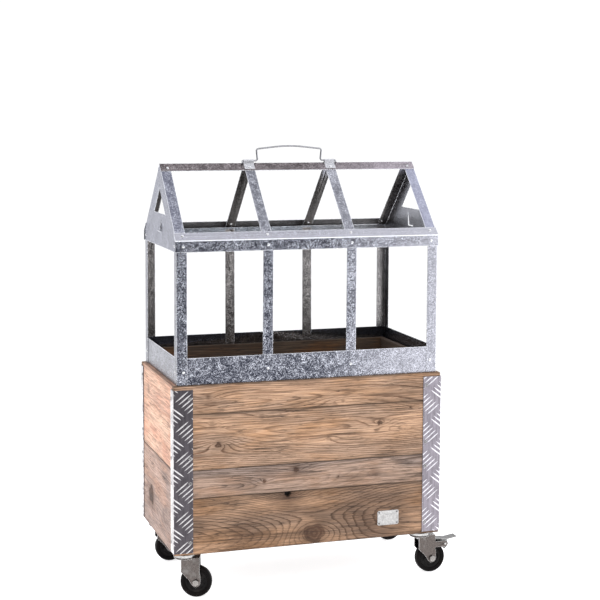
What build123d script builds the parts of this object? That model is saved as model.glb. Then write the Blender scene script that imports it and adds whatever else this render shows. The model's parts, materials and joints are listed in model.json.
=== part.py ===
from build123d import *
import math
import os

# Plant trolley: a plank planter box on four swivel castors, under a lift-off
# greenhouse frame of riveted galvanised sheet. Millimetres, +Z up, front towards -Y.

# ---------------------------------------------------------------- planter box
box_length = 668.0            # outside of the boards, along X
box_depth = 360.0             # outside of the boards, along Y
course_height = 200.0         # one end board, or one narrow and one wide front board
courses = 2
narrow_board = 67.0
board_thickness = 18.0
board_gap = 0.6               # open joint between neighbouring boards
lining_thickness = 12.0
lining_stand_up = 37.0        # lining above the rim
floor_thickness = 27.0
floor_rebate = 3.0            # depth that the lining and battens stand in the floor
batten_size = 30.0
batten_below_rim = 12.0

# ------------------------------------------------------------- corner angles
angle_thickness = 3.0         # tread plate, across its raised bars
angle_front_leg = 48.0
angle_side_leg = 30.0
angle_below_rim = 8.5
angle_above_base = 5.0
screw_from_leg_edge = 7.0
screw_from_course_edge = 30.0
screw_radius = 2.0
screw_head_radius = 4.2
screw_tip_cover = 5.0         # wood left beyond the screw's tip
screw_clearance = 0.05

# --------------------------------------------------------------- label plate
label_length = 55.0
label_height = 36.0
label_thickness = 1.0
label_from_right = 134.0      # right end of the boards to the plate's centre
label_above_base = 48.0       # base of the boards to the plate's centre
label_pin_radius = 1.3
label_pin_inset = 4.5
label_pin_head = 0.8
label_pin_head_radius = 2.2

# -------------------------------------------------------------------- castors
wheel_radius = 37.5
castor_head = 35.0            # top of the tyre to the underside of the box
castor_inset_x = 34.0         # swivel axes from the outside of the boards
castor_inset_y = 40.0
tyre_width = 23.0
tyre_shoulder = 5.0
core_radius = 26.0
core_web = 15.0
hub_radius = 11.0
hub_width = 26.4
trail = 28.0                  # swivel axis to axle
stem_radius = 6.0
stem_engagement = 22.0
insert_wall = 3.0
cup_radius = 26.0
cup_top_radius = 23.0
cup_depth = 7.8
cup_skirt = 3.9
cup_rim_height = 3.0          # straight top edge of the cup
cup_cone = 2.5
cup_wall = 2.4
sleeve_wall = 1.5
race_radius = 17.5
race_gap = 5.5                # cup to crown, where the balls run
ball_radius = 2.5
race_balls = 12
crown_radius = 25.0
crown_thickness = 3.0
washer_radius = 12.5
washer_thickness = 2.5
washer_gap = 1.0
stem_head_radius = 10.0
stem_head_height = 5.0
stem_head_round = 2.75
stem_chamfer = 1.0
pivot_clearance = 0.05        # radial, in every running fit
fork_inside = 27.5
fork_thickness = 2.5
fork_front_edge = -7.0        # fork leg's edges from the swivel axis
fork_rear_edge = 37.0
fork_shoulder = 24.5          # leg's full width down to here, above the axle
fork_waist_x = 10.0           # where its slanting front edge meets the foot
fork_waist = 7.5
fork_foot_radius = 11.0
axle_sleeve_radius = 6.0
axle_bolt_radius = 4.0
hex_across_flats = 13.0
hex_height = 5.3
axle_bolt_tip = 1.5           # bolt's end beyond its nut

# ---------------------------------------------------------------------- brake
brake_pivot_off_tyre = 11.7
brake_pivot_angle = 43.0      # degrees above the axle, round the wheel
brake_lobe_radius = 7.5
brake_pin_radius = 2.5
brake_pin_tip = 1.0           # pin's ends outside the lobes
pedal_width = 24.0
pedal_thickness = 2.2
pedal_path = [(-34.0, 13.5), (5.0, 9.0), (33.0, 13.5)]    # plate's underside, from the pivot
pedal_ear_thickness = 2.0
pedal_ear_gap = 0.6
ear_ahead = 9.0               # ear's edges ahead of and behind the pivot
ear_behind = 6.0
shoe_gap = 2.0
shoe_depth = 6.0
shoe_angles = (30.0, 42.0)    # degrees above the axle, round the wheel

# Each castor: name, side along X, side along Y, turn at rest in degrees, with brake.
castors = [
    ("front_left", -1, -1, -20.0, False),
    ("front_right", 1, -1, 0.0, True),
    ("back_left", -1, 1, 0.0, False),
    ("back_right", 1, 1, 0.0, True),
]

# ----------------------------------------------------------------- greenhouse
sheet = 1.0                   # every galvanised piece
strip = 25.0                  # width of posts, rafters and roof flanges
skirt_play = 6.0              # mid posts to the lining inside them
skirt_height = 64.0
eave_height = 311.0           # rim to the bottom of the eave flange
eave_flange = 26.5
eave_overhang = 2.0           # eave strip beyond the gable plate
roof_angle = 45.0
ridge_overhang = 1.0
post_below_bend = 4.0
mid_post_lift = 5.0
gable_band = 41.7             # sheet between the roof edge and the triangular opening
gable_sill = 80.0             # sheet below the triangular opening
tab_width = 34.0
tab_height = 33.0
tab_below_opening = 12.0
tab_slit = 1.2
tab_lean = 3.0
rivet_radius = 2.0
rivet_head_radius = 3.5
rivet_head_height = 1.4
rivet_tail_radius = 2.7
rivet_tail_height = 1.0
rivet_clearance = 0.05
rivet_from_corner = 16.0
skirt_rivet_height = 31.0
eave_rivet_below_bend = 13.0
slope_rivet_from_edge = 10.0

# --------------------------------------------------------------------- handle
wire_radius = 2.25
wire_above_ridge = 2.95
handle_foot_gap = 10.2        # clip to the leg
handle_leg_spread = 3.0       # upper corners outside the legs' feet
handle_leg = 28.5
handle_arch = 9.0
handle_bend = 5.0
handle_arch_radius = 330.0
handle_hook = 8.0             # length of the hooked end
hook_bend = 2.7
clip_over_rafter = 0.5        # clip beyond each edge of the rafter
clip_short_of_flange = 4.0    # clip's wing inside the ridge flange
clip_wire_gap = 0.05
hook_gap = 0.8

# ---------------------------------------------------------- derived dimensions
base_z = 2 * wheel_radius + castor_head
box_height = courses * course_height
rim_z = base_z + box_height
floor_top = base_z + floor_thickness
lining_seat = floor_top - floor_rebate
half_length = box_length / 2
half_depth = box_depth / 2
inner_x = half_length - board_thickness
inner_y = half_depth - board_thickness
lining_x = inner_x - lining_thickness
lining_y = inner_y - lining_thickness
castor_x = half_length - castor_inset_x
castor_y = half_depth - castor_inset_y
screw_length = board_thickness + angle_thickness - screw_tip_cover
label_centre_x = half_length - label_from_right
label_pin_length = board_thickness / 2
skirt_inset = board_thickness - 2 * sheet - skirt_play
skirt_x = half_length - skirt_inset
skirt_y = half_depth - skirt_inset
post_x = skirt_x + sheet
post_y = skirt_y + sheet
gable_x = post_x + sheet
eave_y = post_y + sheet
eave_x = gable_x + eave_overhang
eave_z = rim_z + eave_height
bend_z = eave_z + eave_flange
slope = math.radians(roof_angle)
ridge_z = bend_z + eave_y * math.tan(slope)
slope_length = eave_y / math.cos(slope)
post_top = bend_z - post_below_bend
mid_x = (2 * post_x - 4 * strip) / 6 + strip / 2     # three panes of equal width
clip_width = strip + 2 * clip_over_rafter
clip_wing = strip - clip_short_of_flange
handle_z = ridge_z + wire_radius + wire_above_ridge
handle_foot_x = mid_x - clip_width / 2 - handle_foot_gap
handle_corner_x = handle_foot_x + handle_leg_spread
crown_top = base_z - cup_depth - race_gap
crown_bottom = crown_top - crown_thickness
washer_top = crown_bottom - washer_gap
washer_bottom = washer_top - washer_thickness
stem_bottom = washer_bottom - stem_head_height
sleeve_radius = stem_radius + sleeve_wall
fork_half = fork_inside / 2
fork_outer = fork_half + fork_thickness
brake_pivot_reach = wheel_radius + brake_pivot_off_tyre
brake_pivot_x = trail + brake_pivot_reach * math.cos(math.radians(brake_pivot_angle))
brake_pivot_z = wheel_radius + brake_pivot_reach * math.sin(math.radians(brake_pivot_angle))
pedal_tip_x = castor_x + brake_pivot_x + pedal_path[-1][0]
centre_x = (pedal_tip_x - half_length - angle_thickness) / 2   # middle of the overall length

nodes = {}


def add(name, *solids):
    nodes.setdefault(name, []).extend(solids)


def block(x, y, z):
    """A rectangular block between pairs of limits."""
    size = [max(pair) - min(pair) for pair in (x, y, z)]
    middle = [sum(pair) / 2 for pair in (x, y, z)]
    return Pos(*middle) * Box(*size)


def rod(start, end, radius):
    """A round bar from start to end."""
    axis = Vector(*end) - Vector(*start)
    return Plane(origin=start, z_dir=axis) * Cylinder(
        radius, axis.length, align=(Align.CENTER, Align.CENTER, Align.MIN)
    )


def turned(points):
    """A body of revolution about Z from (radius, z) points."""
    outline = make_face(Polyline(*[(r, 0, z) for r, z in points], close=True))
    return revolve(outline, Axis.Z)


def extruded_yz(points, x0, x1):
    """A prism along X from (y, z) points."""
    outline = make_face(Polyline(*[(x0, y, z) for y, z in points], close=True))
    return extrude(outline, amount=x1 - x0, dir=(1, 0, 0))


def extruded_xz(points, y0, y1):
    """A prism along Y from (x, z) points."""
    outline = make_face(Polyline(*[(x, y0, z) for x, z in points], close=True))
    return extrude(outline, amount=y1 - y0, dir=(0, 1, 0))


def strip_outline(points, thickness):
    """The closed outline of a folded sheet: points, and points set off to their right."""
    moved = []
    for i, (a, b) in enumerate(points):
        normals = []
        for j in (i - 1, i):
            if 0 <= j < len(points) - 1:
                da = points[j + 1][0] - points[j][0]
                db = points[j + 1][1] - points[j][1]
                run = math.hypot(da, db)
                normals.append((db / run, -da / run))
        na = sum(n[0] for n in normals) / len(normals)
        nb = sum(n[1] for n in normals) / len(normals)
        scale = thickness / (na * na + nb * nb)
        moved.append((a + na * scale, b + nb * scale))
    return points + moved[::-1]


def cut_all(body, tools):
    for tool in tools:
        body = body - tool
    return body


# ---------------------------------------------------------------------- box
def angle_screw_places():
    """Each screw of the corner angles: outer face point and inward direction."""
    heights = []
    for course in range(courses):
        low = base_z + course * course_height
        heights += [low + screw_from_course_edge, low + course_height - screw_from_course_edge]
    places = []
    for sx in (-1, 1):
        for sy in (-1, 1):
            x = sx * (half_length + angle_thickness - angle_front_leg + screw_from_leg_edge)
            y = sy * (half_depth + angle_thickness - angle_side_leg + screw_from_leg_edge)
            for z in heights:
                places.append(((x, sy * (half_depth + angle_thickness), z), (0, -sy, 0)))
                places.append(((sx * (half_length + angle_thickness), y, z), (-sx, 0, 0)))
    return places


def screw(place, direction, extra):
    """A countersunk screw, or with extra its hole."""
    head = screw_head_radius + extra
    shank = screw_radius + extra
    cone = head - shank
    points = [(0, 0), (head, 0), (shank, cone), (shank, screw_length + extra), (0, screw_length + extra)]
    return Plane(origin=place, z_dir=direction) * turned(points)


def label_pins(extra):
    """The label plate's four pins, or with extra their holes."""
    front = -half_depth - label_thickness
    pins = []
    for sx in (-1, 1):
        for sz in (-1, 1):
            x = label_centre_x + sx * (label_length / 2 - label_pin_inset)
            z = base_z + label_above_base + sz * (label_height / 2 - label_pin_inset)
            head = rod((x, front - label_pin_head, z), (x, front, z), label_pin_head_radius)
            shank = rod((x, front - extra, z), (x, front + label_pin_length, z), label_pin_radius + extra)
            pins.append(shank if extra else head + shank)
    return pins


def build_box():
    screws = angle_screw_places()
    holes = [screw(place, direction, screw_clearance) for place, direction in screws]
    pin_holes = label_pins(screw_clearance)
    joints = [base_z]
    for course in range(courses):
        low = base_z + course * course_height
        joints += [low + course_height - narrow_board, low + course_height]
    for side, sy in (("front", -1), ("back", 1)):
        for i in range(len(joints) - 1):
            top = joints[i + 1] - (board_gap if i < len(joints) - 2 else 0)
            board = block(
                (-half_length, half_length), (sy * inner_y, sy * half_depth), (joints[i], top)
            )
            near = [h for h in holes if joints[i] < h.bounding_box().center().Z < top]
            board = cut_all(board, near)
            if sy < 0 and i == 0:
                board = cut_all(board, pin_holes)
            add(f"{side}_board_{len(joints) - 1 - i}", board)
    for side, sx in (("left", -1), ("right", 1)):
        for course in range(courses):
            low = base_z + course * course_height
            top = low + course_height - (board_gap if course < courses - 1 else 0)
            board = block((sx * inner_x, sx * half_length), (-inner_y, inner_y), (low, top))
            near = [h for h in holes if low < h.bounding_box().center().Z < top]
            add(f"{side}_end_board_{courses - course}", cut_all(board, near))

    lining_top = rim_z + lining_stand_up
    heights = (lining_seat, lining_top)
    for s in (-1, 1):
        add("lining_boards", block((-inner_x, inner_x), (s * lining_y, s * inner_y), heights))
        add("lining_boards", block((s * lining_x, s * inner_x), (-lining_y, lining_y), heights))

    battens = []
    for sx in (-1, 1):
        for sy in (-1, 1):
            battens.append(
                block(
                    (sx * lining_x, sx * (lining_x - batten_size)),
                    (sy * lining_y, sy * (lining_y - batten_size)),
                    (lining_seat, rim_z - batten_below_rim),
                )
            )
    add("corner_battens", *battens)

    floor = block((-inner_x, inner_x), (-inner_y, inner_y), (base_z, lining_seat))
    deck = block((-lining_x, lining_x), (-lining_y, lining_y), (lining_seat, floor_top))
    floor += cut_all(deck, battens)
    for name, sx, sy, turn, brake in castors:
        start = (sx * castor_x, sy * castor_y, base_z)
        end = (sx * castor_x, sy * castor_y, base_z + stem_engagement)
        floor = floor - rod(start, end, stem_radius + insert_wall)
    add("floor_panel", floor)

    for sx, end in ((-1, "left"), (1, "right")):
        for sy, side in ((-1, "front"), (1, "back")):
            out_x = half_length + angle_thickness
            out_y = half_depth + angle_thickness
            heights = (base_z + angle_above_base, rim_z - angle_below_rim)
            front_leg = block(
                (sx * (out_x - angle_front_leg), sx * out_x), (sy * half_depth, sy * out_y), heights
            )
            side_leg = block(
                (sx * half_length, sx * out_x), (sy * (out_y - angle_side_leg), sy * out_y), heights
            )
            near = []
            for hole in holes:
                middle = hole.bounding_box().center()
                if middle.X * sx > 0 and middle.Y * sy > 0:
                    near.append(hole)
            add(f"corner_angle_{side}_{end}", cut_all(front_leg + side_leg, near))
    add("corner_angle_screws", *[screw(place, direction, 0) for place, direction in screws])

    label = block(
        (label_centre_x - label_length / 2, label_centre_x + label_length / 2),
        (-half_depth - label_thickness, -half_depth),
        (
            base_z + label_above_base - label_height / 2,
            base_z + label_above_base + label_height / 2,
        ),
    )
    add("label_plate", cut_all(label, pin_holes))
    add("label_pins", *label_pins(0))


# ------------------------------------------------------------------- castors
def hexagon_bar(y0, y1, x, z):
    """A hexagonal bar along Y, as a bolt head or a nut."""
    flat = RegularPolygon(hex_across_flats / 2, 6, major_radius=False)
    return Plane(origin=(x, y0, z), z_dir=(0, 1, 0)) * extrude(flat, y1 - y0)


def castor_cup():
    """Fixed upper cup with the sleeve that the fork's crown turns on."""
    lip = base_z - cup_depth - cup_skirt
    under = base_z - cup_depth
    return turned(
        [
            (stem_radius, base_z),
            (cup_top_radius, base_z),
            (cup_top_radius, base_z - cup_rim_height),
            (cup_radius, base_z - cup_rim_height - cup_cone),
            (cup_radius, lip),
            (cup_radius - cup_wall, lip),
            (cup_radius - cup_wall, under),
            (sleeve_radius, under),
            (sleeve_radius, washer_top),
            (stem_radius, washer_top),
        ]
    )


def castor_balls():
    balls = []
    for i in range(race_balls):
        angle = 2 * math.pi * i / race_balls
        place = (race_radius * math.cos(angle), race_radius * math.sin(angle), crown_top + race_gap / 2)
        balls.append(Pos(*place) * Sphere(ball_radius))
    return balls


def castor_stem():
    """Stem from its round head below the washer up into the floor."""
    top = base_z + stem_engagement
    head_top = washer_bottom
    return turned(
        [
            (0, stem_bottom),
            (stem_head_radius - stem_head_round, stem_bottom),
            (stem_head_radius, stem_bottom + stem_head_round),
            (stem_head_radius, head_top),
            (stem_radius, head_top),
            (stem_radius, top - stem_chamfer),
            (stem_radius - stem_chamfer, top),
            (0, top),
        ]
    )


def fork_leg_outline():
    """The leg's (x, z) outline, with the foot round the axle."""
    shoulder = wheel_radius + fork_shoulder
    waist = wheel_radius + fork_waist
    foot = []
    for degrees in range(-150, 1, 15):
        angle = math.radians(degrees)
        foot.append(
            (trail + fork_foot_radius * math.cos(angle), wheel_radius + fork_foot_radius * math.sin(angle))
        )
    front = [(fork_front_edge, crown_top), (fork_front_edge, shoulder), (fork_waist_x, waist)]
    rear = [(fork_rear_edge, shoulder), (fork_rear_edge, crown_top)]
    return front + foot + [(trail + fork_foot_radius, waist + fork_waist)] + rear


def castor_fork(brake):
    fork = Pos(0, 0, crown_bottom + crown_thickness / 2) * Cylinder(crown_radius, crown_thickness)
    fork += block((fork_front_edge, fork_rear_edge), (-fork_outer, fork_outer), (crown_bottom, crown_top))
    for s in (-1, 1):
        leg = extruded_xz(fork_leg_outline(), s * fork_half, s * fork_outer)
        if brake:
            leg += block(
                (fork_rear_edge - brake_lobe_radius, brake_pivot_x),
                (s * fork_half, s * fork_outer),
                (brake_pivot_z - brake_lobe_radius, brake_pivot_z + brake_lobe_radius),
            )
            leg += rod(
                (brake_pivot_x, s * fork_half, brake_pivot_z),
                (brake_pivot_x, s * fork_outer, brake_pivot_z),
                brake_lobe_radius,
            )
        fork += leg
    fork -= rod((0, 0, 0), (0, 0, base_z), sleeve_radius + pivot_clearance)
    fork -= rod((trail, -fork_outer, wheel_radius), (trail, fork_outer, wheel_radius), axle_bolt_radius)
    if brake:
        fork -= rod(
            (brake_pivot_x, -fork_outer, brake_pivot_z),
            (brake_pivot_x, fork_outer, brake_pivot_z),
            brake_pin_radius,
        )
    return fork


def castor_axle():
    """Axle bolt with its sleeve between the legs, and its nut."""
    low = -fork_outer
    tip = fork_outer + hex_height + axle_bolt_tip
    bolt = hexagon_bar(low - hex_height, low, trail, wheel_radius)
    bolt += rod((trail, low, wheel_radius), (trail, tip, wheel_radius), axle_bolt_radius)
    bolt += rod((trail, -fork_half, wheel_radius), (trail, fork_half, wheel_radius), axle_sleeve_radius)
    nut = hexagon_bar(fork_outer, fork_outer + hex_height, trail, wheel_radius)
    nut -= rod((trail, 0, wheel_radius), (trail, 3 * fork_outer, wheel_radius), axle_bolt_radius)
    return [bolt, nut]


def wheel_part(outline):
    """A body of revolution about the axle from (radius, offset along the axle) points."""
    turned_part = turned(outline)
    return Pos(trail, 0, wheel_radius) * Rot(90, 0, 0) * turned_part


def castor_core():
    bore = axle_sleeve_radius + pivot_clearance
    web = core_web / 2
    hub = hub_width / 2
    return wheel_part(
        [
            (bore, -hub),
            (hub_radius, -hub),
            (hub_radius, -web),
            (core_radius, -web),
            (core_radius, web),
            (hub_radius, web),
            (hub_radius, hub),
            (bore, hub),
        ]
    )


def castor_tyre():
    half = tyre_width / 2
    sweep_points = []
    for degrees in (0, 30, 60, 90):
        angle = math.radians(degrees)
        sweep_points.append(
            (
                wheel_radius - tyre_shoulder + tyre_shoulder * math.sin(angle),
                half - tyre_shoulder + tyre_shoulder * math.cos(angle),
            )
        )
    outer = sweep_points + [(r, -z) for r, z in reversed(sweep_points)]
    return wheel_part([(core_radius, -half), (core_radius, half)] + outer)


def brake_pedal():
    """Pedal plate with two ears on the pivot pin and a shoe facing the tyre."""
    path = [(brake_pivot_x + x, brake_pivot_z + z) for x, z in reversed(pedal_path)]
    plate = extruded_xz(strip_outline(path, pedal_thickness), -pedal_width / 2, pedal_width / 2)
    ear_outer = fork_half - pedal_ear_gap
    ear_inner = ear_outer - pedal_ear_thickness
    shoe_points = []
    inner = wheel_radius + shoe_gap
    low, high = [math.radians(a) for a in shoe_angles]
    outer = inner + shoe_depth
    rim = [(inner, low), (inner, (low + high) / 2), (inner, high), (outer, high), (outer, low)]
    for radius, angle in rim:
        shoe_points.append((trail + radius * math.cos(angle), wheel_radius + radius * math.sin(angle)))
    ear_points = [
        (brake_pivot_x - ear_ahead, pedal_plate_z(-ear_ahead)),
        (brake_pivot_x + ear_behind, pedal_plate_z(ear_behind)),
        (brake_pivot_x + ear_behind, brake_pivot_z - brake_pin_radius),
        shoe_points[4],
        shoe_points[0],
        shoe_points[2],
        (brake_pivot_x - ear_ahead, brake_pivot_z + brake_pin_radius),
    ]
    pedal = plate
    for s in (-1, 1):
        pedal += extruded_xz(ear_points, s * ear_inner, s * ear_outer)
    pedal += extruded_xz(shoe_points, -ear_outer, ear_outer)
    pedal -= rod(
        (brake_pivot_x, -fork_outer, brake_pivot_z),
        (brake_pivot_x, fork_outer, brake_pivot_z),
        brake_pin_radius + pivot_clearance,
    )
    return pedal


def pedal_plate_z(x):
    """Height of the middle of the pedal plate at x from the pivot."""
    start, end = (pedal_path[0], pedal_path[1]) if x < pedal_path[1][0] else pedal_path[1:]
    along = (x - start[0]) / (end[0] - start[0])
    return brake_pivot_z + start[1] + (end[1] - start[1]) * along + pedal_thickness / 2


def build_castors():
    for name, sx, sy, turn, brake in castors:
        place = Pos(sx * castor_x, sy * castor_y, 0) * Rot(0, 0, turn)
        insert = rod((0, 0, base_z), (0, 0, base_z + stem_engagement), stem_radius + insert_wall)
        insert -= rod((0, 0, base_z), (0, 0, base_z + stem_engagement), stem_radius)
        washer = turned(
            [
                (stem_radius, washer_bottom),
                (washer_radius, washer_bottom),
                (washer_radius, washer_top),
                (stem_radius, washer_top),
            ]
        )
        add("castor_inserts", place * insert)
        add("castor_cups", place * castor_cup())
        add("castor_balls", *[place * ball for ball in castor_balls()])
        add("castor_washers", place * washer)
        add("castor_stems", place * castor_stem())
        add(f"castor_fork_{name}", place * castor_fork(brake))
        add(f"castor_axle_{name}", *[place * piece for piece in castor_axle()])
        add(f"wheel_core_{name}", place * castor_core())
        add(f"tyre_{name}", place * castor_tyre())
        if brake:
            pin = rod(
                (brake_pivot_x, -fork_outer - brake_pin_tip, brake_pivot_z),
                (brake_pivot_x, fork_outer + brake_pin_tip, brake_pivot_z),
                brake_pin_radius,
            )
            add(f"brake_pedal_{name}", place * brake_pedal())
            add(f"brake_pin_{name}", place * pin)


# ---------------------------------------------------------------- greenhouse
def roof_point(along, depth, side):
    """(y, z) on a slope: along it from the ridge, and depth below its outer face."""
    y = along * math.cos(slope) - depth * math.sin(slope)
    z = ridge_z - along * math.sin(slope) - depth * math.cos(slope)
    return (side * y, z)


def roof_line(depth, reach):
    """Roof profile (y, z) at a depth below the outer face, out to y = reach on each side."""
    apex = ridge_z - depth / math.cos(slope)
    low = apex - reach * math.tan(slope)
    return [(-reach, low), (0, apex), (reach, low)]


def rivet_places():
    """Each rivet: outer face point, outward direction and grip."""
    places = []
    rivet_z = rim_z + skirt_rivet_height
    eave_rivet_z = bend_z - eave_rivet_below_bend
    for sx in (-1, 1):
        for sy in (-1, 1):
            corner_x = sx * (post_x - rivet_from_corner)
            corner_y = sy * (post_y - rivet_from_corner)
            out = Vector(0, sy * math.sin(slope), math.cos(slope))
            places.append(((corner_x, sy * post_y, rivet_z), (0, sy, 0), 2 * sheet))
            places.append(((sx * post_x, corner_y, rivet_z), (sx, 0, 0), 2 * sheet))
            places.append(((corner_x, sy * eave_y, eave_rivet_z), (0, sy, 0), 2 * sheet))
            places.append(((sx * gable_x, corner_y, eave_rivet_z), (sx, 0, 0), 2 * sheet))
            places.append(((sx * mid_x, sy * skirt_y, rivet_z), (0, sy, 0), 2 * sheet))
            places.append(((sx * mid_x, sy * eave_y, eave_rivet_z), (0, sy, 0), 2 * sheet))
            low = roof_point(slope_length - strip + slope_rivet_from_edge, 0, sy)
            high = roof_point(strip - slope_rivet_from_edge, 0, sy)
            clip = roof_point(strip - slope_rivet_from_edge, -sheet, sy)
            for x in (corner_x, sx * mid_x):
                places.append(((x, *low), out, 2 * sheet))
            places.append(((corner_x, *high), out, 2 * sheet))
            places.append(((sx * mid_x, *clip), out, 3 * sheet))
    return places


def rivet(place, out, grip):
    points = [
        (0, rivet_head_height),
        (rivet_head_radius * 0.5, rivet_head_height * 0.85),
        (rivet_head_radius * 0.85, rivet_head_height * 0.5),
        (rivet_head_radius, 0),
        (rivet_radius, 0),
        (rivet_radius, -grip),
        (rivet_tail_radius, -grip),
        (rivet_tail_radius * 0.8, -grip - rivet_tail_height),
        (0, -grip - rivet_tail_height),
    ]
    return Plane(origin=place, z_dir=out) * turned(points)


def rivet_hole(place, out, grip):
    start = Vector(*place) + Vector(*out) * sheet / 2
    end = Vector(*place) - Vector(*out) * (grip + sheet / 2)
    return rod(tuple(start), tuple(end), rivet_radius + rivet_clearance)


def gable(sx, holes):
    outline = roof_line(sheet, post_y)
    x0, x1 = sx * post_x, sx * gable_x
    plate = extruded_yz([(-post_y, eave_z)] + outline + [(post_y, eave_z)], x0, x1)
    sill = eave_z + gable_sill
    apex = ridge_z - gable_band / math.cos(slope)
    half = (apex - sill) / math.tan(slope)
    plate -= extruded_yz([(-half, sill), (0, apex), (half, sill)], x0, x1)
    tab_top = sill - tab_below_opening
    tab_base = tab_top - tab_height
    wide = tab_width / 2
    plate -= block((x0, x1), (-wide, wide), (tab_base, tab_top))
    lean = sx * tab_lean
    inner = wide - tab_slit
    tab = extruded_xz(
        [(x0, tab_top), (x1, tab_top), (x1 + lean, tab_base + tab_slit), (x0 + lean, tab_base + tab_slit)],
        -inner,
        inner,
    )
    flange = extruded_yz(strip_outline(outline, sheet), sx * gable_x, sx * (gable_x - strip))
    return cut_all(plate + tab + flange, holes)


def handle_clip(sx, holes):
    """A saddle over the wire, with a wing on each slope."""
    inner = wire_radius + clip_wire_gap
    outer = inner + sheet
    x0, x1 = sx * mid_x - clip_width / 2, sx * mid_x + clip_width / 2
    wings = [
        roof_point(clip_wing, -sheet, -1),
        (0, ridge_z + sheet / math.cos(slope)),
        roof_point(clip_wing, -sheet, 1),
    ]
    clip = extruded_yz(strip_outline(wings, sheet), x0, x1)
    clip += rod((x0, 0, handle_z), (x1, 0, handle_z), outer)
    clip += block((x0, x1), (-outer, outer), (ridge_z - inner, handle_z))
    clip -= rod((x0, 0, handle_z), (x1, 0, handle_z), inner)
    clip -= block((x0, x1), (-inner, inner), (ridge_z - 2 * inner, handle_z))
    under = [(-eave_y, ridge_z - eave_y), (0, ridge_z), (eave_y, ridge_z - eave_y)]
    clip -= extruded_yz(under, x0, x1)
    return cut_all(clip, holes)


def carry_handle():
    """Bent wire: arched grip, two legs, feet along the ridge and hooked ends on the front slope."""
    foot_end = mid_x + clip_width / 2 + hook_gap + wire_radius
    down = handle_hook * math.sin(slope)
    right = [
        (handle_corner_x, 0, handle_z + handle_leg),
        (handle_foot_x, 0, handle_z),
        (foot_end, 0, handle_z),
        (foot_end, -down, handle_z - down),
    ]
    left = [(-x, y, z) for x, y, z in reversed(right)]
    points = left + [(0, 0, handle_z + handle_leg + handle_arch)] + right
    bends = [hook_bend, handle_bend, handle_bend, handle_arch_radius]
    path = FilletPolyline(*points, radius=bends + bends[2::-1])
    start = Plane(origin=path @ 0, z_dir=path % 0)
    return sweep(start * Circle(wire_radius), path=path)


def build_greenhouse():
    rivets = rivet_places()
    holes = [rivet_hole(*place) for place in rivets]
    skirt = (rim_z, rim_z + skirt_height)
    for s in (-1, 1):
        long_sheet = block((-skirt_x, skirt_x), (s * (skirt_y - sheet), s * skirt_y), skirt)
        end_sheet = block(
            (s * (skirt_x - sheet), s * skirt_x), (-skirt_y + sheet, skirt_y - sheet), skirt
        )
        add("skirt_sheets", cut_all(long_sheet, holes), cut_all(end_sheet, holes))
    for sx in (-1, 1):
        for sy in (-1, 1):
            heights = (rim_z, post_top)
            post = block((sx * (post_x - strip), sx * post_x), (sy * skirt_y, sy * post_y), heights)
            post += block((sx * skirt_x, sx * post_x), (sy * (post_y - strip), sy * post_y), heights)
            add("corner_posts", cut_all(post, holes))

            low = (rim_z + mid_post_lift, rim_z + skirt_height + strip / 2)
            high = (eave_z - strip / 2, post_top)
            inner_line = [
                (sy * (skirt_y - sheet), low[0]),
                (sy * (skirt_y - sheet), low[1]),
                (sy * post_y, high[0]),
                (sy * post_y, high[1]),
            ]
            outline = inner_line + [(y - sy * sheet, z) for y, z in reversed(inner_line)]
            mid_post = extruded_yz(outline, sx * mid_x - strip / 2, sx * mid_x + strip / 2)
            add("mid_posts", cut_all(mid_post, holes))

            rafter_line = [
                roof_point(3 * sheet, sheet, sy),
                roof_point(slope_length - 4 * sheet, sheet, sy),
                roof_point(slope_length - 4 * sheet, 2 * sheet, sy),
                roof_point(3 * sheet, 2 * sheet, sy),
            ]
            rafter = extruded_yz(rafter_line, sx * mid_x - strip / 2, sx * mid_x + strip / 2)
            add("mid_rafters", cut_all(rafter, holes))
    for name, sy in (("eave_strip_front", -1), ("eave_strip_back", 1)):
        line = [(-eave_y, eave_z), (-eave_y, bend_z), roof_point(slope_length - strip, 0, -1)]
        outline = [(-sy * y, z) for y, z in strip_outline(line, sheet)]
        add(name, cut_all(extruded_yz(outline, -eave_x, eave_x), holes))
    for name, sx in (("gable_left", -1), ("gable_right", 1)):
        add(name, gable(sx, holes))
    cap_line = [roof_point(strip, 0, -1), (0, ridge_z), roof_point(strip, 0, 1)]
    cap = extruded_yz(strip_outline(cap_line, sheet), -gable_x - ridge_overhang, gable_x + ridge_overhang)
    add("ridge_cap", cut_all(cap, holes))
    for sx in (-1, 1):
        add("handle_clips", handle_clip(sx, holes))
    add("greenhouse_rivets", *[rivet(*place) for place in rivets])
    add("carry_handle", carry_handle())


build_box()
build_castors()
build_greenhouse()

os.makedirs("parts", exist_ok=True)
for name, solids in nodes.items():
    moved = [Pos(-centre_x, 0, 0) * solid for solid in solids]
    export_step(Compound(children=moved), f"parts/{name}.step")
print(len(nodes), "nodes written")
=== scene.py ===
import json
import math

import bmesh
import bpy
import numpy as np
from mathutils import Matrix, Vector


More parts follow.
